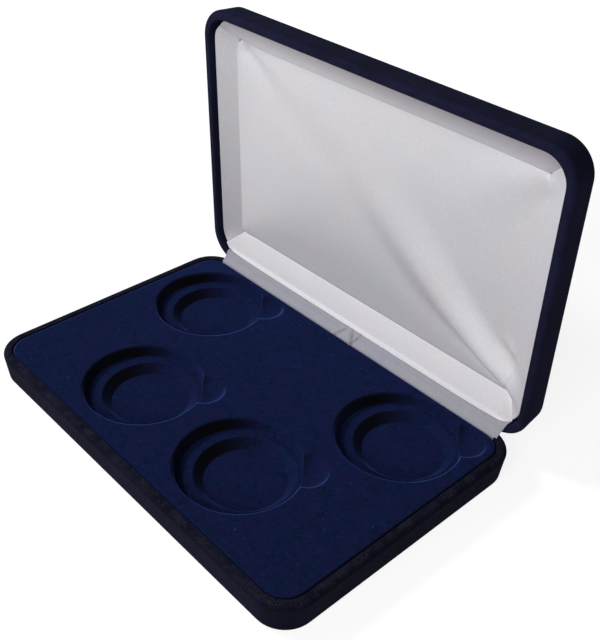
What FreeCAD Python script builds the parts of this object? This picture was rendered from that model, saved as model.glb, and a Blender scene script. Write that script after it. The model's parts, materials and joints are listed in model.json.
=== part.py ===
import FreeCAD, Part
import math
import os

# Hinged presentation box for four crown-size coins in round capsules, modelled with its lid open.
# Frame: origin under the middle of the base, +X along the hinge, +Y to the hinge side, +Z up. Millimetres.

# Overall sizes
box_width = 175.0
box_depth = 115.5
lid_height = 12.6
corner_radius = 13.0
wall_draft = 5.5
open_angle = 88.0

# Moulded trays and the velour glued over them
shell_wall = 2.4
shell_floor = 2.0
wrap_thickness = 0.6
rim_gap = 0.3
rim_round = 1.8
rim_inner_round = 0.5
bottom_round = 2.5
inside_round = 1.0
turn_in_depth = 5.0
turn_under = 10.0
foot_card_thickness = 0.8
card_gap = 0.3

# Coin platform, its wells and thumb notches
spacer_thickness = 1.8
sheet = 1.0
platform_drop = 0.3
platform_gap_side = 0.3
platform_gap_front = 0.4
platform_gap_rear = 0.7
platform_edge_round = 0.8
capsule_diameter = 44.0
capsule_clearance = 0.2
seat_depth = 4.4
seat_flare = 0.8
well_edge_round = 1.3
ledge_width = 3.8
dish_depth = 3.2
dish_floor_radius = 15.0
dish_shift = 2.1
well_corner_round = 0.7
rear_well_side_margin = 4.7
rear_well_rear_margin = 0.55
front_well_front_margin = 4.85
front_wells_apart = 8.4
notch_turn = 41.5
notch_overlap = 0.9
notch_radius = 9.2
notch_depth = 4.3
notch_edge_round = 2.0

# Lid lining
pad_card_thickness = 1.0
satin = 0.4
liner_start_depth = 2.2
liner_gap = 0.3
liner_inset = 12.8
liner_thickness = 1.3
liner_foot = 0.5
liner_inner_radius = 1.0
panel_gap = 0.3
panel_edge_height = 1.0
panel_crown = 3.6
panel_fullness = 1.6
panel_end_rise = 0.1
panel_sections = (-1.0, -0.75, -0.4, 0.0, 0.4, 0.75, 1.0)
crown_y = -10.0
panel_draw_in = 0.5

# Continuous hinge
leaf_sheet = 0.5
leaf_height = 7.0
leaf_gap = 0.05
hinge_length = 120.0
pin_radius = 0.5
pin_clearance = 0.03
knuckle_count = 11
knuckle_gap = 0.2
pocket_gap = 0.3
rivet_count = 5
rivet_radius = 0.75
rivet_head_radius = 1.4
rivet_head_thickness = 0.45
rivet_gap = 0.04
rivet_drop = 4.0

# Satin strip that bridges the hinge
strip_length = 157.0
strip_tuck_length = 142.0
strip_tuck_depth = 3.0
strip_clearance = 0.12

# Sizes that follow from the ones above
draft_slope = math.tan(math.radians(wall_draft))
rim_width = shell_wall + 2 * wrap_thickness
body_bottom = foot_card_thickness - wrap_thickness
base_floor_top = foot_card_thickness + shell_floor
spacer_top = base_floor_top + spacer_thickness
well_depth = seat_depth + dish_depth
platform_top = spacer_top + sheet + well_depth
base_height = platform_top + platform_drop
knuckle_bore = pin_radius + pin_clearance
knuckle_radius = knuckle_bore + leaf_sheet
leaf_plane = knuckle_radius - leaf_sheet / 2
hinge_inset = wrap_thickness + shell_wall / 2 - leaf_plane
hinge_y = box_depth / 2 - hinge_inset
hinge_z = base_height + rim_gap / 2
seat_radius = capsule_diameter / 2 + capsule_clearance
platform_half_x = box_width / 2 - rim_width - platform_gap_side - platform_drop * draft_slope
platform_rear_y = box_depth / 2 - rim_width - platform_gap_rear - platform_drop * draft_slope
platform_front_y = rim_width + platform_gap_front + platform_drop * draft_slope - box_depth / 2
mouth_radius = seat_radius + seat_flare + well_edge_round
rear_well_x = platform_half_x - rear_well_side_margin - mouth_radius
rear_well_y = platform_rear_y - rear_well_rear_margin - mouth_radius
front_well_x = front_wells_apart / 2 + mouth_radius
front_well_y = platform_front_y + front_well_front_margin + mouth_radius
well_centres = [(-rear_well_x, rear_well_y), (rear_well_x, rear_well_y),
                (-front_well_x, front_well_y), (front_well_x, front_well_y)]
notch_offset_x = (mouth_radius - notch_overlap) * math.cos(math.radians(notch_turn))
notch_offset_y = (mouth_radius - notch_overlap) * math.sin(math.radians(notch_turn))
notch_centres = [(x + notch_offset_x, y + notch_offset_y) for x, y in well_centres]
dish_offset_x = dish_shift * math.cos(math.radians(notch_turn))
dish_offset_y = dish_shift * math.sin(math.radians(notch_turn))
lid_panel_top = wrap_thickness + shell_floor
lid_card_top = lid_panel_top + pad_card_thickness
liner_top = lid_height - liner_start_depth
liner_bottom = lid_card_top + liner_foot

x_axis = FreeCAD.Vector(1, 0, 0)
y_axis = FreeCAD.Vector(0, 1, 0)
z_axis = FreeCAD.Vector(0, 0, 1)
origin = FreeCAD.Vector(0, 0, 0)


def point(x, y, z):
    return FreeCAD.Vector(x, y, z)


def closed_outline(points):
    """Closed wire of straight edges through the points."""
    return Part.makePolygon(points + points[:1])


def rounded_outline(width, depth, radius, z, middle_y=0.0):
    """Closed wire of a level rounded rectangle, centred on x = 0."""
    edges = []
    for quadrant in range(4):
        centre_x = (width / 2 - radius) * (1 if quadrant in (0, 3) else -1)
        centre_y = middle_y + (depth / 2 - radius) * (1 if quadrant < 2 else -1)
        turns = [math.radians(90 * quadrant + turn) for turn in (0, 45, 90)]
        arc = [point(centre_x + radius * math.cos(a), centre_y + radius * math.sin(a), z) for a in turns]
        if edges:
            edges.append(Part.LineSegment(edges[-1].Vertexes[-1].Point, arc[0]).toShape())
        edges.append(Part.Arc(*arc).toShape())
    edges.append(Part.LineSegment(edges[-1].Vertexes[-1].Point, edges[0].Vertexes[0].Point).toShape())
    return Part.Wire(edges)


def inset_outline(inset, z, front=0.0, rear=0.0):
    """Outline of the box moved in by an inset, with more at the front and rear where asked."""
    radius = max(corner_radius - inset, liner_inner_radius)
    return rounded_outline(box_width - 2 * inset, box_depth - 2 * inset - front - rear, radius, z,
                           (front - rear) / 2)


def drafted_block(rim_height, inset, low, high, front=0.0, rear=0.0):
    """Solid parallel to the outer wall of a tray whose rim plane is at rim_height."""
    outlines = [inset_outline(inset + (rim_height - z) * draft_slope, z, front, rear) for z in (low, high)]
    return Part.makeLoft(outlines, True, True)


def upright_block(inset, low, high):
    """Straight-sided solid at an inset from the box's plan."""
    return Part.Face(inset_outline(inset, low)).extrude(point(0, 0, high - low))


def funnel(inset_low, low, inset_high, high):
    return Part.makeLoft([inset_outline(inset_low, low), inset_outline(inset_high, high)], True, True)


def level_edges(shape, z, least_inset=0.0):
    """Edges that lie level at a height and at least so far in from the box's plan."""
    def inside(vertex):
        inset = min(box_width / 2 - abs(vertex.X), box_depth / 2 - abs(vertex.Y))
        return abs(vertex.Z - z) < 1e-4 and inset >= least_inset
    return [edge for edge in shape.Edges if all(inside(vertex) for vertex in edge.Vertexes)]


def revolved(profile_edges, x, y, z):
    """Solid of revolution of a profile drawn in the XZ plane about the upright axis."""
    solid = Part.Face(Part.Wire(profile_edges)).revolve(origin, z_axis, 360)
    solid.translate(point(x, y, z))
    return solid


def fused(shapes):
    return shapes[0].multiFuse(shapes[1:])


# Continuous hinge, drawn about its axis with the plate hanging down inside a rear wall

def knuckle_spans(first):
    """Start and width along X of every second knuckle, counted from the first."""
    width = (hinge_length - (knuckle_count - 1) * knuckle_gap) / knuckle_count
    starts = [-hinge_length / 2 + index * (width + knuckle_gap) for index in range(knuckle_count)]
    return [(start, width) for start in starts[first::2]]


def axis_cylinder(radius, start, length):
    return Part.makeCylinder(radius, length, point(start, 0, 0), x_axis)


def rivet_places():
    pitch = hinge_length / rivet_count
    return [-hinge_length / 2 + pitch * (index + 0.5) for index in range(rivet_count)]


def rivet(x, gap=0.0):
    """Rivet through the wall and the leaf, its heads flush with the shell's two faces."""
    length = shell_wall - 2 * rivet_gap + 2 * gap
    start = point(x, -leaf_plane - length / 2, -rivet_drop)
    head = rivet_head_thickness + gap
    far_head = start + y_axis * (length - head)
    return fused([Part.makeCylinder(rivet_radius + gap, length, start, y_axis),
                  Part.makeCylinder(rivet_head_radius + gap, head, start, y_axis),
                  Part.makeCylinder(rivet_head_radius + gap, head, far_head, y_axis)])


def leaf(first):
    """One leaf with its own knuckles, bored for the pin and drilled for the rivets."""
    plate_top = -knuckle_radius - pocket_gap
    parts = [Part.makeBox(hinge_length, leaf_sheet, leaf_height + plate_top,
                          point(-hinge_length / 2, -knuckle_radius, -leaf_height))]
    for start, width in knuckle_spans(first):
        parts.append(Part.makeBox(width, leaf_sheet, leaf_height,
                                  point(start, -knuckle_radius, -leaf_height)))
        parts.append(axis_cylinder(knuckle_radius, start, width))
    body = fused(parts).cut(axis_cylinder(knuckle_bore, -hinge_length / 2, hinge_length))
    for x in rivet_places():
        body = body.cut(Part.makeCylinder(rivet_radius + rivet_gap, 2 * knuckle_radius,
                                          point(x, -2 * knuckle_radius, -rivet_drop), y_axis))
    return body.removeSplitter()


def leaf_slot():
    """What a tray gives up to the hinge: the knuckle groove, the leaf's slot and the rivet holes."""
    long = hinge_length + 2 * pocket_gap
    groove = axis_cylinder(knuckle_radius + pocket_gap, -long / 2, long)
    corner = point(-hinge_length / 2 - leaf_gap, -knuckle_radius - leaf_gap, -leaf_height - leaf_gap)
    slot = Part.makeBox(hinge_length + 2 * leaf_gap, leaf_sheet + 2 * leaf_gap, leaf_height + leaf_gap,
                        corner)
    return fused([groove, slot] + [rivet(x, rivet_gap) for x in rivet_places()])


def at_hinge(shape, rim_height):
    """Tilt a hinge shape with the wall's draft and set it on the hinge line of a tray."""
    shape.rotate(origin, x_axis, -wall_draft)
    shape.translate(point(0, hinge_y, rim_height + rim_gap / 2))
    return shape


# Trays and velour, the same for the base and for the lid drawn rim up

def tray_shell(bottom, rim_height):
    """Moulded tray that the velour covers, from bottom + velour up to rim - velour."""
    low = bottom + wrap_thickness
    high = rim_height - wrap_thickness
    core = drafted_block(rim_height, wrap_thickness, low, high)
    core = core.makeFillet(bottom_round - wrap_thickness, level_edges(core, low))
    core = core.makeFillet(rim_round - wrap_thickness, level_edges(core, high))
    cavity = drafted_block(rim_height, wrap_thickness + shell_wall, low + shell_floor, rim_height)
    cavity = cavity.makeFillet(inside_round, level_edges(cavity, low + shell_floor))
    return core, core.cut(cavity).cut(at_hinge(leaf_slot(), rim_height))


def tray_wrap(core, bottom, rim_height):
    """Velour over the outside and the rim, turned down inside the wall."""
    outside = drafted_block(rim_height, 0, bottom, rim_height)
    outside = outside.makeFillet(bottom_round, level_edges(outside, bottom))
    outside = outside.makeFillet(rim_round, level_edges(outside, rim_height))
    turned_low = rim_height - turn_in_depth
    turned = drafted_block(rim_height, wrap_thickness + shell_wall, turned_low, rim_height - wrap_thickness)
    opening = drafted_block(rim_height, rim_width, turned_low, rim_height)
    skin = outside.cut(core).fuse(turned).cut(opening)
    skin = skin.makeFillet(rim_inner_round, level_edges(skin, rim_height, rim_width - 0.01))
    return skin.cut(at_hinge(leaf_slot(), rim_height))


# Coin platform

def circle_edges(shape, radius, z):
    """Whole circular edges of a turned shape at a radius and height."""
    return [edge for edge in shape.Edges if hasattr(edge.Curve, "Radius")
            and abs(edge.Curve.Radius - radius) < 1e-4 and abs(edge.Curve.Center.z - z) < 1e-4]


def well_space(x, y):
    """Air of one well: flared seat with a rounded mouth, a ledge and a conical dish set towards the notch."""
    wall_top = mouth_radius - well_edge_round
    ledge = seat_radius - ledge_width
    lean = well_edge_round * math.sqrt(0.5)
    rounding = Part.Arc(point(mouth_radius, 0, 0), point(mouth_radius - lean, 0, lean - well_edge_round),
                        point(wall_top, 0, -well_edge_round)).toShape()
    lower = Part.makePolygon([point(wall_top, 0, -well_edge_round), point(seat_radius, 0, -seat_depth),
                              point(0, 0, -seat_depth), point(0, 0, sheet), point(mouth_radius, 0, sheet),
                              point(mouth_radius, 0, 0)])
    dish = closed_outline([point(0, 0, -seat_depth / 2), point(ledge, 0, -seat_depth / 2),
                           point(ledge, 0, -seat_depth), point(dish_floor_radius, 0, -well_depth),
                           point(0, 0, -well_depth)])
    space = revolved([rounding] + lower.Edges, 0, 0, 0)
    space = space.fuse(revolved(dish.Edges, dish_offset_x, dish_offset_y, 0)).removeSplitter()
    corners = circle_edges(space, seat_radius, -seat_depth) + circle_edges(space, ledge, -seat_depth)
    corners += circle_edges(space, dish_floor_radius, -well_depth)
    space = space.makeFillet(well_corner_round, corners)
    space.translate(point(x, y, platform_top))
    return space


def well_cup(x, y):
    """Sheet round one well, before its air is taken out."""
    ledge = seat_radius - ledge_width
    slope = math.atan2(dish_depth, ledge - dish_floor_radius)
    shift = sheet * math.tan(slope / 2)
    seat = closed_outline([point(0, 0, -sheet / 2),
                           point(seat_radius + seat_flare + sheet, 0, -sheet / 2),
                           point(seat_radius + sheet, 0, -seat_depth - sheet),
                           point(0, 0, -seat_depth - sheet)])
    dish = closed_outline([point(0, 0, -seat_depth - sheet / 2),
                           point(ledge + shift, 0, -seat_depth - sheet / 2),
                           point(ledge + shift, 0, -seat_depth - sheet),
                           point(dish_floor_radius + shift, 0, -well_depth - sheet),
                           point(0, 0, -well_depth - sheet)])
    cup = revolved(seat.Edges, x, y, platform_top)
    return cup.fuse(revolved(dish.Edges, x + dish_offset_x, y + dish_offset_y, platform_top))


# The notch's bowl and its rounded lip are two arcs that meet in one tangent.
notch_sum = (notch_radius ** 2 + notch_depth ** 2) / (2 * notch_depth)
bowl_radius = notch_sum - notch_edge_round
notch_lean = math.asin(notch_radius / notch_sum)


def bowl_point(radius, lean):
    return point(radius * math.sin(lean), 0, bowl_radius - notch_depth - radius * math.cos(lean))


def notch_space(x, y):
    """Air of one thumb notch: a bowl with a rounded lip."""
    def lip_point(lean):
        return point(notch_radius - notch_edge_round * math.sin(lean), 0,
                     notch_edge_round * (math.cos(lean) - 1))
    lip = Part.Arc(lip_point(0), lip_point(notch_lean / 2), lip_point(notch_lean)).toShape()
    bowl = Part.Arc(lip_point(notch_lean), bowl_point(bowl_radius, notch_lean / 2),
                    bowl_point(bowl_radius, 0)).toShape()
    rest = Part.makePolygon([bowl_point(bowl_radius, 0), point(0, 0, sheet), point(notch_radius, 0, sheet),
                             lip_point(0)])
    return revolved([lip, bowl] + rest.Edges, x, y, platform_top)


def notch_cup(x, y):
    """Sheet under one thumb notch."""
    radius = bowl_radius + sheet
    lean = math.acos((bowl_radius - notch_depth + sheet / 2) / radius)
    bowl = Part.Arc(bowl_point(radius, lean), bowl_point(radius, lean / 2), bowl_point(radius, 0)).toShape()
    rest = Part.makePolygon([bowl_point(radius, 0), point(0, 0, -sheet / 2), bowl_point(radius, lean)])
    return revolved([bowl] + rest.Edges, x, y, platform_top)


def coin_platform():
    """Formed sheet with a skirt, four wells and four thumb notches."""
    inset = rim_width + platform_gap_side
    front = platform_gap_front - platform_gap_side
    rear = platform_gap_rear - platform_gap_side
    outside = drafted_block(base_height, inset, spacer_top, platform_top, front, rear)
    outside = outside.makeFillet(platform_edge_round, level_edges(outside, platform_top))
    inside = drafted_block(base_height, inset + sheet, spacer_top, platform_top - sheet, front, rear)
    cups = [well_cup(x, y) for x, y in well_centres] + [notch_cup(x, y) for x, y in notch_centres]
    solid = outside.cut(inside).fuse([cup.common(outside) for cup in cups])
    for x, y in well_centres:
        solid = solid.cut(well_space(x, y))
    for x, y in notch_centres:
        solid = solid.cut(notch_space(x, y))
    return solid.removeSplitter()


# Lid lining, drawn rim up

def lid_liner_ring():
    """Sloping satin strips from the rim to the pillow, still in one ring."""
    outer = rim_width + liner_gap + liner_start_depth * draft_slope
    slope = (liner_top - liner_bottom) / (liner_inset - outer)
    foot_inset = liner_inset - (liner_thickness - liner_foot) / slope
    under_top = liner_top - liner_thickness
    below = funnel(foot_inset, lid_card_top, outer, under_top)
    edge = upright_block(outer, under_top, liner_top)
    above = funnel(liner_inset, liner_bottom, outer, liner_top)
    middle = upright_block(liner_inset, lid_card_top, liner_bottom)
    return below.fuse(edge).cut(above).cut(middle)


def mitre_prism(corners):
    """Upright prism that takes one strip from the liner ring."""
    outline = closed_outline([point(x, y, 0) for x, y in corners])
    return Part.Face(outline).extrude(point(0, 0, lid_height))


def pillow(inset, sink):
    """Crowned form on the pad card, highest on a line along X, its sides drawn in a little."""
    end_x = box_width / 2 - inset
    end_y = box_depth / 2 - inset
    side = lid_card_top + panel_edge_height - sink
    sections = []
    for step in panel_sections:
        y = crown_y * (1 - step ** 2) + end_y * step
        half = end_x - panel_draw_in * (1 - step ** 2)
        rise = (panel_crown - panel_edge_height) * (1 - abs(step) ** panel_fullness) + panel_end_rise
        side_line = Part.makePolygon([point(-half, y, side), point(-half, y, lid_card_top),
                                      point(half, y, lid_card_top), point(half, y, side)])
        crown = Part.Arc(point(half, y, side), point(0, y, side + rise), point(-half, y, side)).toShape()
        sections.append(Part.Wire(side_line.Edges + [crown]))
    return Part.makeLoft(sections, True, False)


# Satin strip over the hinge

def lid_point(inset, depth):
    """Place in the row frame, at the rest pose, of a point of the lid's rear section."""
    turn = math.radians(open_angle)
    back = hinge_inset - inset
    up = rim_gap / 2 + depth
    return (hinge_y + back * math.cos(turn) + up * math.sin(turn),
            hinge_z - back * math.sin(turn) + up * math.cos(turn))


def ribbon(path, length):
    """Band of satin that follows a path in the YZ plane, centred on x = 0."""
    sides = ([], [])
    for index, (y, z) in enumerate(path):
        before = path[max(index - 1, 0)]
        after = path[min(index + 1, len(path) - 1)]
        first = math.atan2(z - before[1], y - before[0]) if index else None
        last = math.atan2(after[1] - z, after[0] - y) if index < len(path) - 1 else first
        first = last if first is None else first
        reach = satin / 2 / math.cos((last - first) / 2)
        heading = (first + last) / 2
        for side, points in zip((1, -1), sides):
            points.append(point(-length / 2, y - side * reach * math.sin(heading),
                                z + side * reach * math.cos(heading)))
    outline = closed_outline(sides[0] + sides[1][::-1])
    return Part.Face(outline).extrude(point(length, 0, 0))


def hinge_cover_strip():
    """Satin tucked behind the platform, over both rims and in against the lid's rear wall."""
    gap_inset = rim_width + platform_gap_rear / 2
    tuck_inset = gap_inset + strip_tuck_depth * draft_slope
    low = (box_depth / 2 - tuck_inset, base_height - strip_tuck_depth)
    over = (box_depth / 2 - gap_inset, base_height + strip_clearance + satin / 2)
    wall_inset = rim_width + strip_clearance + satin / 2
    across = lid_point(wall_inset, -strip_clearance - satin / 2)
    deep = liner_start_depth - strip_clearance
    end = lid_point(wall_inset + deep * draft_slope, deep)
    return fused([ribbon([low, over, across, end], strip_tuck_length), ribbon([over, across], strip_length)])


def opened(shape):
    """Set a shape that was drawn rim up in the lid on the hinge, at the open rest pose."""
    placed = shape.copy()
    placed.rotate(origin, y_axis, 180)
    placed.translate(point(0, 0, hinge_z + rim_gap / 2 + lid_height))
    placed.rotate(point(0, hinge_y, hinge_z), x_axis, -open_angle)
    return placed


base_core, base_shell = tray_shell(body_bottom, base_height)
under_opening = upright_block(turn_under, body_bottom, foot_card_thickness)
lid_core, lid_shell = tray_shell(0, lid_height)
foam = pillow(liner_inset + panel_gap + satin, satin)
liner_ring = lid_liner_ring()
half_x = box_width / 2
half_y = box_depth / 2
ridge_x = half_x - half_y
tucked_inset = wrap_thickness + shell_wall + inside_round + card_gap

base_parts = {
    "base_shell": base_shell,
    "base_wrap": tray_wrap(base_core, body_bottom, base_height).cut(under_opening),
    "base_foot_card": upright_block(turn_under + card_gap, 0, foot_card_thickness),
    "platform_spacer": drafted_block(base_height, tucked_inset, base_floor_top, spacer_top),
    "coin_platform": coin_platform(),
    "hinge_leaf_base": at_hinge(leaf(0), base_height),
    "hinge_pin": at_hinge(axis_cylinder(pin_radius, -hinge_length / 2, hinge_length), base_height),
    "hinge_rivets_base": at_hinge(Part.makeCompound([rivet(x) for x in rivet_places()]), base_height),
    "hinge_cover_strip": hinge_cover_strip(),
}
lid_parts = {
    "lid_shell": lid_shell,
    "lid_wrap": tray_wrap(lid_core, 0, lid_height),
    "lid_pad_card": drafted_block(lid_height, tucked_inset, lid_panel_top, lid_card_top),
    "lid_foam_pad": foam,
    "lid_satin_panel": pillow(liner_inset + panel_gap, 0).cut(foam),
    "lid_liner_rear": liner_ring.common(mitre_prism([(-half_x, half_y), (half_x, half_y), (ridge_x, 0),
                                                     (-ridge_x, 0)])),
    "lid_liner_front": liner_ring.common(mitre_prism([(-half_x, -half_y), (half_x, -half_y), (ridge_x, 0),
                                                      (-ridge_x, 0)])),
    "lid_liner_left": liner_ring.common(mitre_prism([(half_x, -half_y), (half_x, half_y), (ridge_x, 0)])),
    "lid_liner_right": liner_ring.common(mitre_prism([(-half_x, -half_y), (-half_x, half_y), (-ridge_x, 0)])),
    "hinge_leaf_lid": at_hinge(leaf(1), lid_height),
    "hinge_rivets_lid": at_hinge(Part.makeCompound([rivet(x) for x in rivet_places()]), lid_height),
}
pieces = dict(base_parts, **{name: opened(shape) for name, shape in lid_parts.items()})

os.makedirs("parts", exist_ok=True)
for name, shape in pieces.items():
    shape.exportStep("parts/" + name + ".step")
    print(name, "solids", len(shape.Solids), "valid", shape.isValid(), "volume", round(shape.Volume, 1))
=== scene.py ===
import bpy
import json
import math
import numpy as np
from mathutils import Matrix, Vector


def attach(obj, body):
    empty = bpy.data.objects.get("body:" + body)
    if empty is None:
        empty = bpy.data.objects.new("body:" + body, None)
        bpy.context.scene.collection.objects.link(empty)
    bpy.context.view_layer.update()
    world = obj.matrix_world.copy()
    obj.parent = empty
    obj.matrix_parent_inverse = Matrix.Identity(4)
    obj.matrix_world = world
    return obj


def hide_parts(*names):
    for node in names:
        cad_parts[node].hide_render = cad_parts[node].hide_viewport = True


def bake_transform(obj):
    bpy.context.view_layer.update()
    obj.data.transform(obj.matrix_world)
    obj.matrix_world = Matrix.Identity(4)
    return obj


# Looks of a hinged coin display box: velour outside, flocked platform inside, satin lining in the open lid.
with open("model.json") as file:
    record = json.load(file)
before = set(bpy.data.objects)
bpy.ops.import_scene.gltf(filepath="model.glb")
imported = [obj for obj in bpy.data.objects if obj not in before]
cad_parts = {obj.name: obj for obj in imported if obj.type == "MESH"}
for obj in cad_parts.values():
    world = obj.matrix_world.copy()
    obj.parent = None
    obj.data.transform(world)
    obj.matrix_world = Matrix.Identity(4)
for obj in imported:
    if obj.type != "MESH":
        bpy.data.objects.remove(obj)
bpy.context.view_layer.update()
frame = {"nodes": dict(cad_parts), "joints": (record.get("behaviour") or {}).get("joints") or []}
scene = bpy.context.scene

# The box's plan and the gap between its shut rims, in metres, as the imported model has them
box = {
    "width": 0.175,
    "depth": 0.1155,
    "rimGap": 0.0003,
}
hinge = frame["joints"][0]
axisPoint = Vector(hinge["pos_m"])
openTurn = math.radians(hinge["range_deg"][1])
baseRim = axisPoint.z - box["rimGap"] / 2
lidRim = axisPoint.z + box["rimGap"] / 2


def inLid(x, y, depth):
    # A point of the shut lid, depth measured from its rim plane, turned to the open rest pose
    back = y - axisPoint.y
    up = lidRim + depth - axisPoint.z
    return Vector((x, axisPoint.y + back * math.cos(openTurn) + up * math.sin(openTurn),
                   axisPoint.z - back * math.sin(openTurn) + up * math.cos(openTurn)))


lidRimPoint = inLid(0, 0, 0)
lidInward = inLid(0, 0, 1) - lidRimPoint


# Shader maths: a signal is one socket, and an expression on signals adds its Math nodes
class Signal:
    def __init__(self, shading, socket):
        self.shading = shading
        self.socket = socket

    def joined(self, operation, first, second):
        return self.shading.node("Math", {"operation": operation}, {0: first, 1: second})

    def __add__(self, other):
        return self.joined("ADD", self, other)

    def __radd__(self, other):
        return self.joined("ADD", other, self)

    def __sub__(self, other):
        return self.joined("SUBTRACT", self, other)

    def __rsub__(self, other):
        return self.joined("SUBTRACT", other, self)

    def __mul__(self, other):
        return self.joined("MULTIPLY", self, other)

    def __rmul__(self, other):
        return self.joined("MULTIPLY", other, self)


# One tree of shader nodes: node() adds any node, settings first, then values or links
class Shading:
    def __init__(self, tree):
        self.tree = tree
        self.tree.nodes.clear()

    def node(self, kind, settings=None, inputs=None, output=0):
        made = self.tree.nodes.new("ShaderNode" + kind)
        for key, value in (settings or {}).items():
            if key == "stops":
                self.setStops(made.color_ramp, value)
            else:
                setattr(made, key, value)
        for key, value in (inputs or {}).items():
            if isinstance(value, Signal):
                self.tree.links.new(value.socket, made.inputs[key])
            else:
                made.inputs[key].default_value = value
        return Signal(self, made.outputs[output]) if made.outputs else None

    def setStops(self, ramp, stops):
        while len(ramp.elements) < len(stops):
            ramp.elements.new(1.0)
        for element, (position, shade) in zip(ramp.elements, stops):
            element.position = position
            element.color = (shade, shade, shade, 1)


# One material under construction
class Finish(Shading):
    def __init__(self, name):
        self.material = bpy.data.materials.new(name)
        self.material.use_nodes = True
        super().__init__(self.material.node_tree)
        self.place = self.node("TexCoord", output="Object")

    def stretched(self, scale):
        return self.node("Mapping", None, {"Vector": self.place, "Scale": scale})

    def noise(self, scale, detail=2.0, roughness=0.5, distortion=0.0, vector=None):
        return self.node("TexNoise", None, {
            "Vector": vector or self.place, "Scale": scale, "Detail": detail,
            "Roughness": roughness, "Distortion": distortion})

    def ramp(self, signal, *stops):
        return self.node("ValToRGB", {"stops": stops}, {0: signal})

    def mix(self, factor, first, second):
        return self.node("Mix", {"data_type": "RGBA"}, {0: factor, 6: first, 7: second}, output=2)

    def along(self, vector, direction):
        # How far a vector reaches along a direction
        return self.node("VectorMath", {"operation": "DOT_PRODUCT"}, {0: vector, 1: tuple(direction)},
                         output="Value")

    def depthPast(self, point, inward):
        # Distance past the plane through a point, inward
        offset = self.node("VectorMath", {"operation": "SUBTRACT"}, {0: self.place, 1: tuple(point)})
        return self.along(offset, inward)

    def bump(self, height, distance, under=None):
        inputs = {"Height": height, "Distance": distance}
        if under:
            inputs["Normal"] = under
        return self.node("Bump", None, inputs)

    def surface(self, **inputs):
        named = {key.replace("_", " "): value for key, value in inputs.items()}
        shader = self.node("BsdfPrincipled", None, named)
        self.node("OutputMaterial", None, {"Surface": shader})
        return self.material


print("frame loaded,", len(frame["nodes"]), "nodes")

# Finishes

velourLook = {
    "deep": (0.0050, 0.0052, 0.0135, 1),
    "nap": (0.0094, 0.0098, 0.0300, 1),
    # rim colour: dust on the rubbed nap together with a painted highlight of the rim
    "rimDustAndSheen": (0.0660, 0.0680, 0.0980, 1),
    "cloudScale": 60,
    "fibreScale": 2300,
    "fibreHeight": 0.00025,
    "speckScale": 2600,
    "rubAndSheenPatchScale": 240,
    "rimReach": 0.0014,  # how far the rubbed specks and painted rim highlight go from the rim
    "sheen": 0.04,
    "sheenTint": (0.34, 0.40, 0.62, 1),
}


def scaled(colour, paintedLightLevel):
    return [channel * paintedLightLevel for channel in colour[:3]] + [1]


def velour(name, paintedLightLevel, rimSheenAndRub, rimPoint, inward):
    # Napped velour, paler in specks along the rim that the plane through rimPoint marks: rubbed nap
    # together with a painted rim highlight
    f = Finish(name)
    fibres = f.noise(velourLook["fibreScale"], 3, 0.65)
    clouds = f.noise(velourLook["cloudScale"], 4, 0.6, 0.4)
    nap = f.ramp(clouds * 0.55 + fibres * 0.45, (0.38, 0), (0.66, 1))
    shade = f.mix(nap, scaled(velourLook["deep"], paintedLightLevel), scaled(velourLook["nap"], paintedLightLevel))
    edge = f.ramp(f.depthPast(rimPoint, inward) * (1 / velourLook["rimReach"]), (0.0, 1), (1.0, 0))
    specks = f.ramp(f.noise(velourLook["speckScale"], 4, 0.75), (0.46, 0), (0.70, rimSheenAndRub))
    worn = f.ramp(f.noise(velourLook["rubAndSheenPatchScale"], 3, 0.6), (0.40, 0.2), (0.62, 1))
    # Painted rim highlight and rubbed dusty specks, near the rim only
    dustedAndSheened = f.mix(edge * specks * worn, shade, velourLook["rimDustAndSheen"])
    return f.surface(Base_Color=dustedAndSheened, Roughness=0.92, Specular_IOR_Level=0.03,
                     Sheen_Weight=velourLook["sheen"], Sheen_Roughness=0.38,
                     Sheen_Tint=velourLook["sheenTint"],
                     Normal=f.bump(fibres, velourLook["fibreHeight"]))


flockLook = {
    "deep": (0.0042, 0.0070, 0.0225, 1),
    "bright": (0.0068, 0.0145, 0.0590, 1),
    "violet": (0.0088, 0.0096, 0.0445, 1),
    "paintedWallShade": (0.0042, 0.0034, 0.0048, 1),  # painted shade for walls that face away from the key light
    "lip": (0.0300, 0.0580, 0.2100, 1),  # painted sheen highlight: pile seen from the side on the rounded lips
    "lint": (0.0600, 0.0800, 0.2400, 1),
    # direction towards the key light; walls facing away from it get painted shade
    "lean": (-0.93, -0.36, 0.0),
    "heightUnit": 0.02,
    "lipHeights": (0.0120, 0.01272),
    "cloudScale": 320,
    "patchScale": 240,
    "fibreScale": 950,
    "lintScale": 1100,
    "fibreHeight": 0.00022,
    "sheen": 0.14,
    "sheenTint": (0.16, 0.30, 1.0, 1),
}


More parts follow.
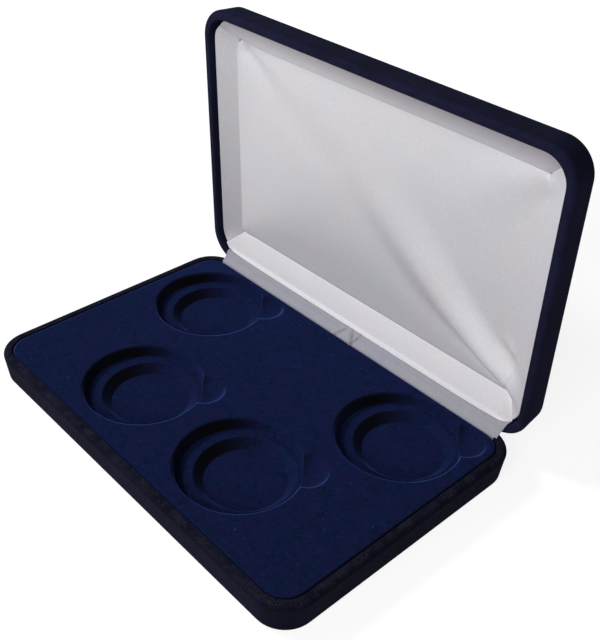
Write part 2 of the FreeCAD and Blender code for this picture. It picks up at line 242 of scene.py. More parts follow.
def flock():
    # Short pile; walls that face away from the key light are darkened in colour: painted shade
    f = Finish("flock_blue")
    fibres = f.noise(flockLook["fibreScale"], 3, 0.7)
    clouds = f.noise(flockLook["cloudScale"], 5, 0.65, 0.6)
    patches = f.noise(flockLook["patchScale"], 3, 0.55, 0.3)
    nap = f.ramp(clouds * 0.35 + fibres * 0.65, (0.38, 0), (0.62, 1))
    shade = f.mix(nap, flockLook["deep"], flockLook["bright"])
    shade = f.mix(f.ramp(patches, (0.44, 0), (0.66, 0.9)), shade, flockLook["violet"])
    lean = f.along(f.node("NewGeometry", output="Normal"), flockLook["lean"])
    # Painted shade on walls that face away from the key light
    shade = f.mix(f.ramp(lean * -1.0, (0.06, 0), (0.62, 1)), shade, flockLook["paintedWallShade"])
    # Painted sheen highlight on the lips of the wells' mouths, where the platform's top turns away from the
    # eye
    grazing = f.ramp(f.node("LayerWeight", None, {"Blend": 0.5}, output="Facing"), (0.44, 0), (0.78, 1))
    low, high = (height / flockLook["heightUnit"] for height in flockLook["lipHeights"])
    lips = f.ramp(f.along(f.place, (0, 0, 1 / flockLook["heightUnit"])), (low, 0), (high, 1))
    shade = f.mix(grazing * lips, shade, flockLook["lip"])
    lint = f.ramp(f.noise(flockLook["lintScale"], 1, 0.4), (0.80, 0), (0.84, 1))
    return f.surface(Base_Color=f.mix(lint, shade, flockLook["lint"]), Roughness=0.95,
                     Specular_IOR_Level=0.0, Sheen_Weight=flockLook["sheen"], Sheen_Roughness=0.42,
                     Sheen_Tint=flockLook["sheenTint"],
                     Normal=f.bump(fibres, flockLook["fibreHeight"]))


satinLook = {
    "paintedGlint": (0.86, 0.86, 0.92, 1),
    "sparkScale": 1700,
    "rimShadowColour": (0.400, 0.345, 0.385, 1),
    "rimUnit": 0.01,
    "patchScale": 38,
    "floatScale": (900, 4200, 4200),  # threads lie along the hinge
    "floatHeight": 0.00004,
    "grainScale": 1900,
    "grainHeight": 0.00005,
    "grainRoughness": 0.16,
    "rippleScale": 55,
    "rippleHeight": 0.00030,
}
satinKinds = {
    "satin_white": {"warm": (0.618, 0.596, 0.622, 1), "cool": (0.600, 0.596, 0.636, 1), "metal": 0.14,
                    "gloss": 0.8, "roughness": 0.46, "sparkle": 0.28, "paintedRimShadow": 0.0},
    "satin_front": {"warm": (0.618, 0.596, 0.622, 1), "cool": (0.600, 0.596, 0.636, 1), "metal": 0.14,
                    "gloss": 0.8, "roughness": 0.46, "sparkle": 0.20, "paintedRimShadow": 0.9},
    # A darker copy of the white satin, used for the strip over the hinge
    "satin_darker": {"warm": (0.315, 0.306, 0.345, 1), "cool": (0.296, 0.300, 0.352, 1), "metal": 0.0,
                   "gloss": 0.3, "roughness": 0.56, "sparkle": 0.06, "paintedRimShadow": 0.0},
}


def satin(name):
    # Pale satin with fine threads and painted specks of shine, and a painted shadow under the lid's rim
    # where its kind asks for one
    kind = satinKinds[name]
    f = Finish(name)
    floats = f.noise(1.0, 3, 0.6, vector=f.stretched(satinLook["floatScale"]))
    grain = f.noise(satinLook["grainScale"], 2, 0.6)
    ripple = f.noise(satinLook["rippleScale"], 2, 0.45)
    patches = f.noise(satinLook["patchScale"], 3, 0.5)
    shade = f.mix(f.ramp(patches, (0.42, 0), (0.62, 1)), kind["warm"], kind["cool"])
    # Painted glints: pale specks of shine mixed into the colour
    paintedGlints = f.ramp(f.noise(satinLook["sparkScale"], 2, 0.7), (0.52, 0), (0.68, kind["sparkle"]))
    shade = f.mix(paintedGlints, shade, satinLook["paintedGlint"])
    if kind["paintedRimShadow"]:
        # Painted shadow of the lid's rim: darker and pinker near the rim, fading deeper in
        below = f.depthPast(lidRimPoint, lidInward) * (1 / satinLook["rimUnit"])
        shade = f.mix(f.ramp(below, (0.20, kind["paintedRimShadow"]), (0.62, 0)), shade, satinLook["rimShadowColour"])
    rippled = f.bump(ripple, satinLook["rippleHeight"])
    grained = f.bump(grain, satinLook["grainHeight"], under=rippled)
    return f.surface(Base_Color=shade, Metallic=kind["metal"],
                     Roughness=kind["roughness"] + grain * satinLook["grainRoughness"],
                     Specular_IOR_Level=kind["gloss"], Sheen_Weight=0.12, Sheen_Roughness=0.3,
                     Normal=f.bump(floats, satinLook["floatHeight"], under=grained))


plasticLook = {
    "dark": (0.030, 0.031, 0.034, 1),
    "pale": (0.045, 0.046, 0.050, 1),
    "grainScale": 900,
    "grainHeight": 0.00004,
    "flowScale": 40,
    "roughness": 0.42,
}


def shellPlastic():
    f = Finish("shell_plastic")
    grain = f.noise(plasticLook["grainScale"], 3, 0.6)
    flow = f.noise(plasticLook["flowScale"], 3, 0.5)
    return f.surface(Base_Color=f.mix(flow, plasticLook["dark"], plasticLook["pale"]),
                     Roughness=plasticLook["roughness"] + grain * 0.2,
                     Normal=f.bump(grain, plasticLook["grainHeight"]))


boardLook = {
    "pulpScale": 420,
    "pulpHeight": 0.00008,
    "speckScale": 1700,
    "speckShow": 0.35,
}


def board(name, dark, pale):
    f = Finish(name)
    pulp = f.noise(boardLook["pulpScale"], 5, 0.7)
    specks = f.ramp(f.noise(boardLook["speckScale"], 2, 0.5), (0.60, 0), (0.72, 1))
    shade = f.mix(pulp, dark, pale)
    return f.surface(Base_Color=f.mix(specks * boardLook["speckShow"], shade, dark), Roughness=0.88,
                     Specular_IOR_Level=0.2, Normal=f.bump(pulp, boardLook["pulpHeight"]))


foamLook = {
    "dark": (0.55, 0.54, 0.50, 1),
    "pale": (0.78, 0.77, 0.73, 1),
    "cellScale": 1400.0,
    "cellHeight": 0.0002,
}


def foam():
    f = Finish("foam_white")
    cells = f.node("TexVoronoi", None, {"Vector": f.place, "Scale": foamLook["cellScale"]})
    return f.surface(Base_Color=f.mix(cells, foamLook["dark"], foamLook["pale"]), Roughness=0.9,
                     Normal=f.bump(cells, foamLook["cellHeight"]))


steelLook = {
    "dark": (0.50, 0.49, 0.46, 1),
    "pale": (0.66, 0.65, 0.62, 1),
    "drawnScale": (120, 3500, 3500),  # drawn along the hinge
    "drawnHeight": 0.00002,
    "stainScale": 240,
    "roughness": 0.28,
}


def hingeSteel():
    f = Finish("hinge_steel")
    drawn = f.noise(1.0, 3, 0.6, vector=f.stretched(steelLook["drawnScale"]))
    stain = f.noise(steelLook["stainScale"], 4, 0.6)
    return f.surface(Base_Color=f.mix(stain, steelLook["dark"], steelLook["pale"]), Metallic=1.0,
                     Roughness=steelLook["roughness"] + drawn * 0.22,
                     Normal=f.bump(drawn, steelLook["drawnHeight"]))


floorLook = {
    "paint": (0.80, 0.80, 0.80, 1),
    "glow": (1, 1, 1, 1),
    "glowStrength": 1.2,
    "paintShow": 0.28,  # share of the shaded paint that shows near the box
    "reachUnit": 2.0,
}


def floorFinish():
    # Glowing white to the eye, with some of its paint and shadow near the box, and plain paint to the light
    f = Finish("floor_white")
    seen = f.node("Math", {"operation": "MAXIMUM"},
                  {0: f.node("LightPath", output="Is Camera Ray"),
                   1: f.node("LightPath", output="Is Glossy Ray")})
    paint = f.node("BsdfDiffuse", None, {"Color": floorLook["paint"]})
    glow = f.node("Emission", None, {"Color": floorLook["glow"], "Strength": floorLook["glowStrength"]})
    reach = f.node("VectorMath", {"operation": "LENGTH"}, {0: f.place}, output="Value")
    far = f.ramp(reach * (1 / floorLook["reachUnit"]), (0.12, 0), (0.40, 1))
    glowing = seen * (1 - (1 - far) * floorLook["paintShow"])
    lit = f.node("MixShader", None, {0: glowing, 1: paint, 2: glow})
    f.node("OutputMaterial", None, {"Surface": lit})
    return f.material


finishes = {
    # The two velour copies differ in level as painted light: lighter on the lid, darker on the base
    "baseVelour": velour("velour_base", paintedLightLevel=0.66, rimSheenAndRub=0.70, rimPoint=(0, 0, baseRim), inward=(0, 0, -1)),
    "lidVelour": velour("velour_lid", paintedLightLevel=1.32, rimSheenAndRub=0.22, rimPoint=lidRimPoint, inward=lidInward),
    "flock": flock(),
    "satin": satin("satin_white"),
    "frontSatin": satin("satin_front"),
    "darkerSatin": satin("satin_darker"),
    "plastic": shellPlastic(),
    "greyBoard": board("grey_board", dark=(0.20, 0.19, 0.17, 1), pale=(0.33, 0.32, 0.29, 1)),
    "footCard": board("foot_card", dark=(0.014, 0.014, 0.017, 1), pale=(0.030, 0.030, 0.036, 1)),
    "foam": foam(),
    "steel": hingeSteel(),
}
nodeFinish = {
    "base_shell": "plastic", "lid_shell": "plastic", "base_wrap": "baseVelour", "lid_wrap": "lidVelour",
    "base_foot_card": "footCard", "platform_spacer": "greyBoard", "lid_pad_card": "greyBoard",
    "coin_platform": "flock", "lid_foam_pad": "foam", "lid_satin_panel": "satin",
    "lid_liner_rear": "satin", "lid_liner_front": "satin", "lid_liner_left": "satin",
    "lid_liner_right": "satin", "hinge_cover_strip": "satin", "hinge_pin": "steel",
    "hinge_leaf_base": "steel", "hinge_leaf_lid": "steel",
    "hinge_rivets_base": "steel", "hinge_rivets_lid": "steel",
}
for name, node in frame["nodes"].items():
    node.data.materials.clear()
    node.data.materials.append(finishes[nodeFinish[name]])
print("finishes made for", len(nodeFinish), "nodes")


# Meshes

def meshPiece(name, points, faces, finish):
    mesh = bpy.data.meshes.new(name)
    mesh.from_pydata([tuple(point) for point in points], [], faces)
    mesh.polygons.foreach_set("use_smooth", [True] * len(mesh.polygons))
    mesh.materials.append(finishes[finish])
    mesh.update()
    piece = bpy.data.objects.new(name, mesh)
    scene.collection.objects.link(piece)
    return piece


def sheetFaces(rows, columns, start=0, flip=False):
    # Quads of a grid of points stored row by row
    quads = []
    for row in range(rows - 1):
        for column in range(columns - 1):
            corner = start + row * columns + column
            quad = (corner, corner + 1, corner + columns + 1, corner + columns)
            quads.append(quad[::-1] if flip else quad)
    return quads


def closedSheet(top, bottom, flip=False):
    # Faces of a slab whose top and bottom are grids of the same size, joined round the edge
    rows, columns = top.shape[:2]
    count = rows * columns
    faces = sheetFaces(rows, columns, 0, flip) + sheetFaces(rows, columns, count, not flip)
    rim = list(range(columns))
    rim += [row * columns + columns - 1 for row in range(1, rows)]
    rim += [(rows - 1) * columns + column for column in range(columns - 2, -1, -1)]
    rim += [row * columns for row in range(rows - 2, 0, -1)]
    for here, after in zip(rim, rim[1:] + rim[:1]):
        quad = (here, here + count, after + count, after)
        faces.append(quad[::-1] if flip else quad)
    points = np.concatenate([top.reshape(-1, 3), bottom.reshape(-1, 3)])
    return points, faces


def smoothStep(value):
    value = np.clip(value, 0, 1)
    return value * value * (3 - 2 * value)


# Satin pillow in the lid: x along the hinge, y from the hinge side (+) to the lid's front edge (-)

pillow = {
    "inset": 0.0127,
    "cornerRadius": 0.0022,
    "cardDepth": 0.0090,
    "clothLift": 0.0002,  # least height of the satin over its card
    "crown": 0.0035,
    "crownPower": 2.2,
    "apex": (0.0, -0.012),
    "hipPower": 5.0,
    "spacing": 0.0013,
    "nearEdge": [0.0, 0.00012, 0.0003, 0.0006, 0.0010, 0.0016, 0.0024],
    "edgeRound": {"left": 0.0007, "rear": 0.0028},
    "edgeHeight": {"left": 0.0020, "right": 0.0, "front": 0.0, "rear": 0.0012},
    "flush": {"right": 0.22, "front": 0.25},  # share of the slope already risen at these edges
    "flushPower": 1.5,
    "folds": [
        # The long fold from the corner at the rear right
        {"path": [(0.0765, 0.0425), (0.0718, 0.0382), (0.0625, 0.0325), (0.0541, 0.0270), (0.0456, 0.0212),
                  (0.0367, 0.0146), (0.0205, 0.0025), (0.0045, -0.0095), (-0.0125, -0.0215)],
         "height": 0.0046, "left": (0.0030, 0.0118), "right": (0.0080, 0.0165),
         "fade": 0.076, "valley": 0.15},
        # A low one from the front right corner
        {"path": [(0.0760, -0.0450), (0.0610, -0.0372), (0.0460, -0.0250)],
         "height": 0.0013, "left": (0.0080, 0.0180), "right": (0.0060, 0.0150),
         "fade": 0.034, "valley": 0.0},
        # A small crease beside the start of the long fold
        {"path": [(0.0755, 0.0282), (0.0719, 0.0249), (0.0690, 0.0215)],
         "height": 0.0009, "left": (0.0014, 0.0024), "right": (0.0014, 0.0030),
         "fade": 0.009, "valley": 0.6},
        # A hollow from the front left corner
        {"path": [(-0.0745, -0.0445), (-0.0570, -0.0338), (-0.0482, -0.0262), (-0.0366, -0.0197),
                  (-0.0198, -0.0150)],
         "height": -0.0011, "left": (0.0036, 0.0150), "right": (0.0030, 0.0120),
         "fade": 0.066, "valley": 0.2},
    ],
    "foldStart": 0.004,
    "foldGrown": 0.8,  # share of its fade over which a fold widens
    "valleyPlace": 1.1,  # in widths of the left slope, as is valleyWidth
    "valleyWidth": 0.55,
    "scallop": 0.00026,
    "scallopPitch": 0.0052,
    "scallopWander": 310,
    "scallopReach": 0.0012,
    "nick": (-0.0330, 0.00045, 0.0011),
}
relax = {
    "frames": 12,
    "quality": 7,
    "mass": 0.05,
    "stretch": 12,
    "shear": 4,
    "bend": 0.5,
    "tighten": 0.001,
    "foamHold": 0.30,
    "heldEdge": 3,  # rows of points
    "reach": 0.0008,  # no point moves further than this
}


def edgeSteps(length, spacing):
    # Positions across a length, close together at both ends
    near = pillow["nearEdge"]
    count = int(round((length - 2 * near[-1]) / spacing))
    middle = [near[-1] + (length - 2 * near[-1]) * step / count for step in range(1, count)]
    return np.array(near + middle + [length - step for step in near[::-1]])


def roundedPlan(x, y, halfX, halfY, radius):
    # Draws the square corners of a plan grid in to rounded ones
    overX = np.maximum(np.abs(x) - (halfX - radius), 0)
    overY = np.maximum(np.abs(y) - (halfY - radius), 0)
    reach = np.hypot(overX, overY)
    pull = np.where((overX > 0) & (overY > 0), np.maximum(overX, overY) / np.maximum(reach, 1e-9), 1)
    return (np.sign(x) * (np.abs(x) - overX + overX * pull),
            np.sign(y) * (np.abs(y) - overY + overY * pull))


def alongPath(x, y, path):
    # Distance along a drawn line, and across it with its side as the sign, for every point of a grid
    best = np.full(x.shape, 1e9)
    along = np.zeros(x.shape)
    side = np.ones(x.shape)
    gone = 0.0
    for (x0, y0), (x1, y1) in zip(path, path[1:]):
        run = math.hypot(x1 - x0, y1 - y0)
        share = np.clip(((x - x0) * (x1 - x0) + (y - y0) * (y1 - y0)) / run ** 2, 0, 1)
        across = np.hypot(x - x0 - share * (x1 - x0), y - y0 - share * (y1 - y0))
        closer = across < best
        best = np.where(closer, across, best)
        along = np.where(closer, gone + share * run, along)
        side = np.where(closer, np.sign((x1 - x0) * (y - y0) - (y1 - y0) * (x - x0)), side)
        gone += run
    return along, best * side


def foldHeight(x, y, fold):
    # A fold from a corner: its own width on either side, and a valley beside its left slope
    along, across = alongPath(x, y, fold["path"])
    grown = smoothStep(along / (fold["fade"] * pillow["foldGrown"]))
    left = fold["left"][0] + (fold["left"][1] - fold["left"][0]) * grown
    right = fold["right"][0] + (fold["right"][1] - fold["right"][0]) * grown
    width = np.where(across < 0, left, right)
    crest = 1 - smoothStep(np.abs(across) / width)
    fromValley = (across + pillow["valleyPlace"] * left) / (pillow["valleyWidth"] * left)
    valley = fold["valley"] * np.exp(-fromValley ** 2)
    rise = smoothStep(along / pillow["foldStart"]) * np.exp(-(along / fold["fade"]) ** 3)
    return fold["height"] * rise * (crest - valley)


def pillowHeight(x, y, halfX, halfY):
    # Height of the satin over its card: hipped crown, folds from the corners, edges rolled down
    apexX, apexY = pillow["apex"]
    slopes = {"left": (x + halfX, apexX + halfX), "right": (halfX - x, halfX - apexX),
              "front": (y + halfY, apexY + halfY), "rear": (halfY - y, halfY - apexY)}
    power = pillow["hipPower"]
    shares = {side: np.maximum(run / full, 1e-3) for side, (run, full) in slopes.items()}
    for side, start in pillow["flush"].items():
        shares[side] = start + (1 - start) * shares[side] ** pillow["flushPower"]
    hip = sum(share ** -power for share in shares.values()) ** (-1 / power)
    hip = np.clip(hip / len(shares) ** (-1 / power), 0, 1)
    crown = pillow["crown"] * (1 - (1 - hip) ** pillow["crownPower"])
    for fold in pillow["folds"]:
        crown = crown + foldHeight(x, y, fold)
    body = np.ones(x.shape)
    for side, radius in pillow["edgeRound"].items():
        body = body * np.sqrt(1 - (1 - np.clip(slopes[side][0] / radius, 0, 1)) ** 2)
    weights = {side: 1 / np.maximum(run, 1e-5) ** 2 for side, (run, full) in slopes.items()}
    stand = sum(weights[side] * pillow["edgeHeight"][side] for side in slopes) / sum(weights.values())
    return (stand + crown) * body


def pillowHalves():
    return box["width"] / 2 - pillow["inset"], box["depth"] / 2 - pillow["inset"]


def pillowEdgeDepth(x, y):
    # Depth of the satin at the point of its edge nearest to x, y
    halfX, halfY = pillowHalves()
    edgeX = np.array([[np.clip(x, -halfX, halfX)]])
    edgeY = np.array([[np.clip(y, -halfY, halfY)]])
    height = float(pillowHeight(edgeX, edgeY, halfX, halfY)[0, 0])
    return pillow["cardDepth"] - pillow["clothLift"] - height


def relaxedSatin(top):
    # Cloth simulation of the panel: held round its edge, drawn a little tight, resting on the foam
    rows, columns = top.shape[:2]
    held = relax["heldEdge"]
    piece = meshPiece("satin_panel_trial", top.reshape(-1, 3), sheetFaces(rows, columns), "satin")
    inner = [row * columns + column for row in range(held, rows - held)
             for column in range(held, columns - held)]
    edge = sorted(set(range(rows * columns)) - set(inner))
    group = piece.vertex_groups.new(name="held")
    group.add(edge, 1.0, "REPLACE")
    group.add(inner, relax["foamHold"], "REPLACE")
    cloth = piece.modifiers.new("satin", "CLOTH")
    cloth.settings.quality = relax["quality"]
    cloth.settings.mass = relax["mass"]
    cloth.settings.tension_stiffness = relax["stretch"]
    cloth.settings.compression_stiffness = relax["stretch"]
    cloth.settings.shear_stiffness = relax["shear"]
    cloth.settings.bending_stiffness = relax["bend"]
    cloth.settings.vertex_group_mass = "held"
    cloth.settings.pin_stiffness = 1.0
    cloth.settings.shrink_min = relax["tighten"]
    cloth.settings.effector_weights.gravity = 0
    cloth.point_cache.frame_start = 1
    cloth.point_cache.frame_end = relax["frames"]
    for moment in range(1, relax["frames"] + 1):
        scene.frame_set(moment)
    worn = piece.evaluated_get(bpy.context.evaluated_depsgraph_get()).data
    moved = np.empty(rows * columns * 3)
    worn.vertices.foreach_get("co", moved)
    shift = moved.reshape(top.shape) - top
    length = np.linalg.norm(shift, axis=2, keepdims=True)
    shift *= np.minimum(1, relax["reach"] / np.maximum(length, 1e-9))
    print("satin relaxed, largest move %.2f mm" % (float(length.max()) * 1000))
    mesh = piece.data
    bpy.data.objects.remove(piece)
    bpy.data.meshes.remove(mesh)
    scene.frame_set(1)
    return top + shift


def makePillow():
    halfX, halfY = pillowHalves()
    x, y = np.meshgrid(edgeSteps(2 * halfX, pillow["spacing"]) - halfX,
                       edgeSteps(2 * halfY, pillow["spacing"]) - halfY)
    height = pillowHeight(x, y, halfX, halfY)
    planX, planY = roundedPlan(x, y, halfX, halfY, pillow["cornerRadius"])
    # The left edge is gathered in scallops, with one nick
    nickPlace, nickDepth, nickWidth = pillow["nick"]
    wander = np.sin(y * pillow["scallopWander"])
    ruffle = pillow["scallop"] * np.abs(np.sin(np.pi * y / pillow["scallopPitch"] + wander))
    ruffle = ruffle - nickDepth * np.exp(-((y - nickPlace) / nickWidth) ** 2)
    planX = planX - ruffle * np.exp(-(x + halfX) / pillow["scallopReach"])
    edgeDepth = pillow["cardDepth"] - pillow["clothLift"]
    top = np.array([[inLid(a, b, edgeDepth - h) for a, b, h in zip(*rows)]
                    for rows in zip(planX, planY, height)])
    top = relaxedSatin(top)
    bottom = np.array([[inLid(a, b, pillow["cardDepth"]) for a, b in zip(*rows)]
                       for rows in zip(planX, planY)])
    points, faces = closedSheet(top, bottom)
    piece = meshPiece("satin_pillow", points, faces, "satin")
    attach(piece, "lid")
    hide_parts("lid_satin_panel", "lid_foam_pad")
    return piece


satinPillow = makePillow()
print("pillow made,", len(satinPillow.data.vertices), "points")


# Satin liner strips between the lid's rim and the pillow

liner = {
    "outerInset": 0.0041,
    "outerDepth": 0.0022,
    "outerCorner": 0.0100,
    "innerInset": 0.0129,
    "innerDepth": 0.0085,
    "pillowGap": 0.00005,
    "thickness": 0.0010,
    "taper": 0.8,  # share of the thickness that is gone at the lower edge
    "bulge": {"rear": 0.00045, "left": 0.00030, "front": -0.00090, "right": -0.00070},
    "endFade": 8,  # the bulge fades at the mitres with this power
    "overRim": {"rear": (0.0005, 0.0018)},  # out and over the rim
    "spillShare": 1 / 7,
    "rollShare": 1 / 9,
    "cornerCut": 0.0006,
    "cutEnds": {"front": 1, "left": -1},
    "steps": 64,
    "cornerSteps": 9,
    "across": 20,
    "crowding": 1.5,  # points across the strip crowd towards the rim
}
sides = {"rear": (0, 1), "left": (-1, 0), "front": (0, -1), "right": (1, 0)}


def outerEdge(halfLong, halfShort, radius, cutEnd):
    # Outer edge of one strip from mitre to mitre: half a corner arc, the straight, half an arc
    arc = [math.radians(45 - 45 * step / liner["cornerSteps"]) for step in range(liner["cornerSteps"])]
    ends = [(radius * math.sin(turn), radius * math.cos(turn)) for turn in arc]
    ends = {-1: ends, 1: list(ends)}
    if cutEnd:
        # One corner of the lining is cut off straight
        limit = (radius - liner["cornerCut"]) * math.sqrt(2)
        over = [max(0.0, across + out - limit) / 2 for across, out in ends[cutEnd]]
        ends[cutEnd] = [(across - far, out - far) for (across, out), far in zip(ends[cutEnd], over)]
    left = [(-(halfLong - radius) - across, halfShort - radius + out) for across, out in ends[-1]]
    straight = np.linspace(-(halfLong - radius), halfLong - radius, liner["steps"])
    right = [(halfLong - radius + across, halfShort - radius + out) for across, out in ends[1]]
    return left + [(u, halfShort) for u in straight] + right[::-1]


def linerPlace(side, u, v, depth):
    # A point of a strip, u along its side and v outward, placed in the lid
    overX, overY = sides[side]
    if overX:
        return inLid(overX * v, overX * -u, depth)
    return inLid(overY * u, overY * v, depth)


def linerInnerDepth(side, innerU, innerV):
    # The strip's lower edge comes up to the pillow's own edge where the two are flush
    if side not in pillow["flush"]:
        return liner["innerDepth"]
    endX, endY = (innerV, -innerU) if sides[side][0] else (-innerU, -innerV)
    return min(liner["innerDepth"], pillowEdgeDepth(endX, endY) - liner["pillowGap"])


def linerSection(side, u, v, innerU, innerV, away):
    # Top and bottom points of one line across a strip, from the rim down to the pillow
    slope = Vector((liner["innerInset"] - liner["outerInset"], liner["innerDepth"] - liner["outerDepth"]))
    normal = Vector((-slope.y, slope.x)).normalized()
    overRim = liner["overRim"].get(side)
    inner = linerInnerDepth(side, innerU, innerV)
    line = {"top": [], "bottom": []}
    for step in range(liner["across"] + 1):
        part = (step / liner["across"]) ** liner["crowding"]
        alongU = u + (innerU - u) * part
        outV = v + (innerV - v) * part
        depth = liner["outerDepth"] + (inner - liner["outerDepth"]) * part
        lift = liner["bulge"][side] * math.sin(math.pi * part) * away
        if overRim:
            spill = max(0.0, 1 - part / liner["spillShare"]) ** 2 * away
            outV += overRim[0] * spill
            depth -= overRim[1] * spill
        else:
            roll = 1 - math.sqrt(max(0.0, 1 - max(0.0, 1 - part / liner["rollShare"]) ** 2))
            lift -= liner["thickness"] * roll
        thickness = liner["thickness"] * (1 - liner["taper"] * part)
        for layer, shift in (("top", lift), ("bottom", min(lift, 0) - thickness)):
            line[layer].append(linerPlace(side, alongU, outV - normal.x * shift, depth - normal.y * shift))
    return line


def makeLiner(side):
    long, short = (box["width"], box["depth"]) if sides[side][1] else (box["depth"], box["width"])
    outer = outerEdge(long / 2 - liner["outerInset"], short / 2 - liner["outerInset"],
                      liner["outerCorner"], liner["cutEnds"].get(side))
    innerHalf = long / 2 - liner["innerInset"]
    innerOut = short / 2 - liner["innerInset"]
    lengths = np.cumsum([0] + [math.dist(a, b) for a, b in zip(outer, outer[1:])])
    shares = lengths / lengths[-1] * 2 - 1
    rows = {"top": [], "bottom": []}
    for (u, v), share in zip(outer, shares):
        away = 1 - abs(share) ** liner["endFade"]
        line = linerSection(side, u, v, share * innerHalf, innerOut, away)
        for layer in rows:
            rows[layer].append(line[layer])
    points, faces = closedSheet(np.array(rows["top"]), np.array(rows["bottom"]))
    piece = meshPiece("satin_liner_" + side, points, faces, "frontSatin" if side == "front" else "satin")
    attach(piece, "lid")
    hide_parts("lid_liner_" + side)
    return piece


for side in sides:
    makeLiner(side)
print("liner strips made")


# Satin strip over the hinge

strip = {
    # Ends of the strip at the platform, over the hinge and at the lid's lining
    "left": (-0.0768, -0.0772, -0.0776),
    "right": (0.0794, 0.0789, 0.0808),
    "climb": (0.40, 0.85),
    "thickness": 0.0002,
    "steps": 420,
    "sectionSteps": 44,
    # y and height over the base's rim, from the tuck behind the platform to the lid's lining
    "profile": [(0.05343, -0.0044), (0.05350, -0.0022), (0.05360, -0.0007), (0.05388, 0.00008),
                (0.05450, 0.00045), (0.05530, 0.00098), (0.05600, 0.00160), (0.05650, 0.00228),
                (0.05700, 0.00290), (0.05770, 0.00322), (0.05860, 0.00335)],
    "waviness": 0.00012,
    "waves": [(410, 0.0, 1.0), (977, 1.3, 0.6)],  # pitch, start and share
    "crumples": [{"x": -0.0022, "width": 0.0011, "height": 0.00085, "tilt": 0.9},
                 {"x": 0.0040, "width": 0.0010, "height": 0.00110, "tilt": -0.8},
                 {"x": 0.0062, "width": 0.0008, "height": 0.00080, "tilt": 0.5}],
    "crumpleMiddle": 0.55,
    "crumpleRun": 0.006,
    "crumpleSkew": 1.2,
}


def smoothLine(knots, count):
    # Points evenly spaced by parameter on a Catmull-Rom curve through the knots
    ends = [tuple(2 * a - b for a, b in zip(knots[0], knots[1])),
            tuple(2 * a - b for a, b in zip(knots[-1], knots[-2]))]
    padded = [ends[0]] + list(knots) + [ends[1]]
    line = []
    for step in range(count):
        place = step / (count - 1) * (len(knots) - 1)
        index = min(int(place), len(knots) - 2)
        t = place - index
        p0, p1, p2, p3 = (np.array(padded[index + shift]) for shift in range(4))
        line.append(0.5 * (2 * p1 + (p2 - p0) * t + (2 * p0 - 5 * p1 + 4 * p2 - p3) * t ** 2
                           + (3 * p1 - p0 - 3 * p2 + p3) * t ** 3))
    return np.array(line)


def stripLift(x, parts):
    # Height of the strip's waves and crumples over its drawn section
    free = np.sin(np.pi * parts) ** 2
    waves = sum(share * np.sin(x * pitch + start) for pitch, start, share in strip["waves"])
    lift = strip["waviness"] * waves * free
    for crumple in strip["crumples"]:
        lean = crumple["tilt"] * (parts - strip["crumpleMiddle"]) * strip["crumpleRun"]
        across = (x - crumple["x"] - lean) / crumple["width"]
        lift = lift + crumple["height"] * (1 - strip["crumpleSkew"] * across) * np.exp(-across ** 2) * free
    return lift


def makeHingeStrip():
    section = smoothLine(strip["profile"], strip["sectionSteps"])
    tangent = np.gradient(section, axis=0)
    normal = np.stack([-tangent[:, 1], tangent[:, 0]], 1)
    normal /= np.linalg.norm(normal, axis=1)[:, None]
    parts = np.linspace(0, 1, len(section))
    left, right = (np.interp(parts, (0, 0.5, 1), strip[end]) for end in ("left", "right"))
    # Past the start of the lid's rounded corner its upper edge follows the lining up
    climbStart, climbEnd = strip["climb"]
    climb = smoothStep((parts - climbStart) / (climbEnd - climbStart))
    radius = liner["outerCorner"]
    cornerStart = box["width"] / 2 - liner["outerInset"] - radius
    rows = {"top": [], "bottom": []}
    for share in np.linspace(0, 1, strip["steps"]):
        x = left + (right - left) * share
        past = np.maximum(np.abs(x) - cornerStart, 0)
        raised = climb * (radius - np.sqrt(radius ** 2 - past ** 2))
        lift = stripLift(x, parts)
        for layer, shift in (("top", strip["thickness"] / 2), ("bottom", -strip["thickness"] / 2)):
            placed = section + normal * (shift + lift)[:, None]
            rows[layer].append([(a, y, baseRim + z + up) for a, (y, z), up in zip(x, placed, raised)])
    points, faces = closedSheet(np.array(rows["top"]), np.array(rows["bottom"]), flip=True)
    piece = meshPiece("satin_hinge_strip", points, faces, "darkerSatin")
    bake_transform(piece)
    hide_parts("hinge_cover_strip")
    return piece


makeHingeStrip()
print("hinge strip made")


# Floor, light and camera

stage = {
    "floorHalf": 6.0,
    "worldStrength": 0.1,
    "lampDistance": 1.0,
    "lampAim": (0, 0, 0.03),
    "lamps": [
        {"name": "key_window", "azimuth": 215, "elevation": 46, "size": 0.18, "power": 5.0},
        {"name": "front_window", "azimuth": 290, "elevation": 30, "size": 0.45, "power": 5.5},
        {"name": "side_window", "azimuth": 170, "elevation": 30, "size": 0.45, "power": 0.8},
    ],
}
camera = {
    "place": (0.20889, -0.17471, 0.24362),
    "azimuth": 47.899,
    "elevation": 36.232,
    "roll": 1.229,
    "focalPixels": 937.58,
    "centre": (269.89, 327.37),
    "frame": (600, 640),
    "sensor": 36.0,
    "nearClip": 0.01,
}


def makeStage():
    half = stage["floorHalf"]
    corners = [(-half, -half, 0), (half, -half, 0), (half, half, 0), (-half, half, 0)]
    mesh = bpy.data.meshes.new("floor")
    mesh.from_pydata(corners, [], [(0, 1, 2, 3)])
    mesh.materials.append(floorFinish())
    floor = bpy.data.objects.new("floor", mesh)
    scene.collection.objects.link(floor)


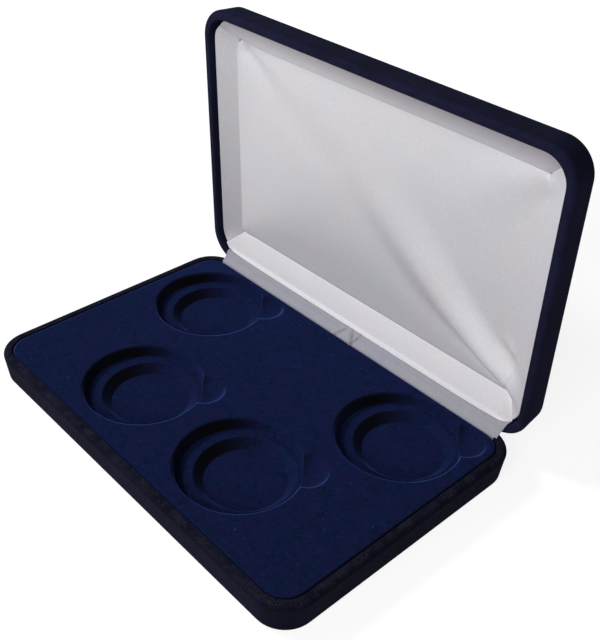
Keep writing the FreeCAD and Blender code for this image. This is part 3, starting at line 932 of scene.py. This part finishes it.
def makeWorld():
    # White to the eye, and a weak even light on everything else
    world = bpy.data.worlds.new("studio")
    scene.world = world
    world.use_nodes = True
    sky = Shading(world.node_tree)
    seen = sky.node("Math", {"operation": "MAXIMUM"},
                    {0: sky.node("LightPath", output="Is Camera Ray"),
                     1: sky.node("LightPath", output="Is Transmission Ray")})
    strength = sky.node("MapRange", None,
                        {"Value": seen, "To Min": stage["worldStrength"], "To Max": 1.0})
    light = sky.node("Background", None, {"Color": (1, 1, 1, 1), "Strength": strength})
    sky.node("OutputWorld", None, {"Surface": light})


def makeLamps():
    for settings in stage["lamps"]:
        light = bpy.data.lights.new(settings["name"], "AREA")
        light.shape = "DISK"
        light.size = settings["size"]
        light.energy = settings["power"]
        lamp = bpy.data.objects.new(settings["name"], light)
        turn = math.radians(settings["azimuth"])
        rise = math.radians(settings["elevation"])
        lamp.location = Vector((math.cos(turn) * math.cos(rise), math.sin(turn) * math.cos(rise),
                                math.sin(rise))) * stage["lampDistance"]
        aim = Vector(stage["lampAim"]) - lamp.location
        lamp.rotation_euler = aim.to_track_quat("-Z", "Y").to_euler()
        scene.collection.objects.link(lamp)


def makeCamera():
    data = bpy.data.cameras.new("photo_view")
    data.sensor_width = camera["sensor"]
    data.lens = camera["focalPixels"] * camera["sensor"] / camera["frame"][1]
    data.shift_x = (camera["frame"][0] / 2 - camera["centre"][0]) / camera["frame"][1]
    data.shift_y = (camera["centre"][1] - camera["frame"][1] / 2) / camera["frame"][1]
    data.clip_start = camera["nearClip"]
    view = bpy.data.objects.new("photo_view", data)
    turn = (Matrix.Rotation(math.radians(camera["azimuth"]), 4, "Z")
            @ Matrix.Rotation(math.radians(90 - camera["elevation"]), 4, "X")
            @ Matrix.Rotation(math.radians(camera["roll"]), 4, "Z"))
    view.matrix_world = Matrix.Translation(camera["place"]) @ turn
    scene.collection.objects.link(view)
    scene.camera = view


makeStage()
makeWorld()
makeLamps()
makeCamera()
scene.view_settings.view_transform = "Standard"
print("stage, lamps and camera made")
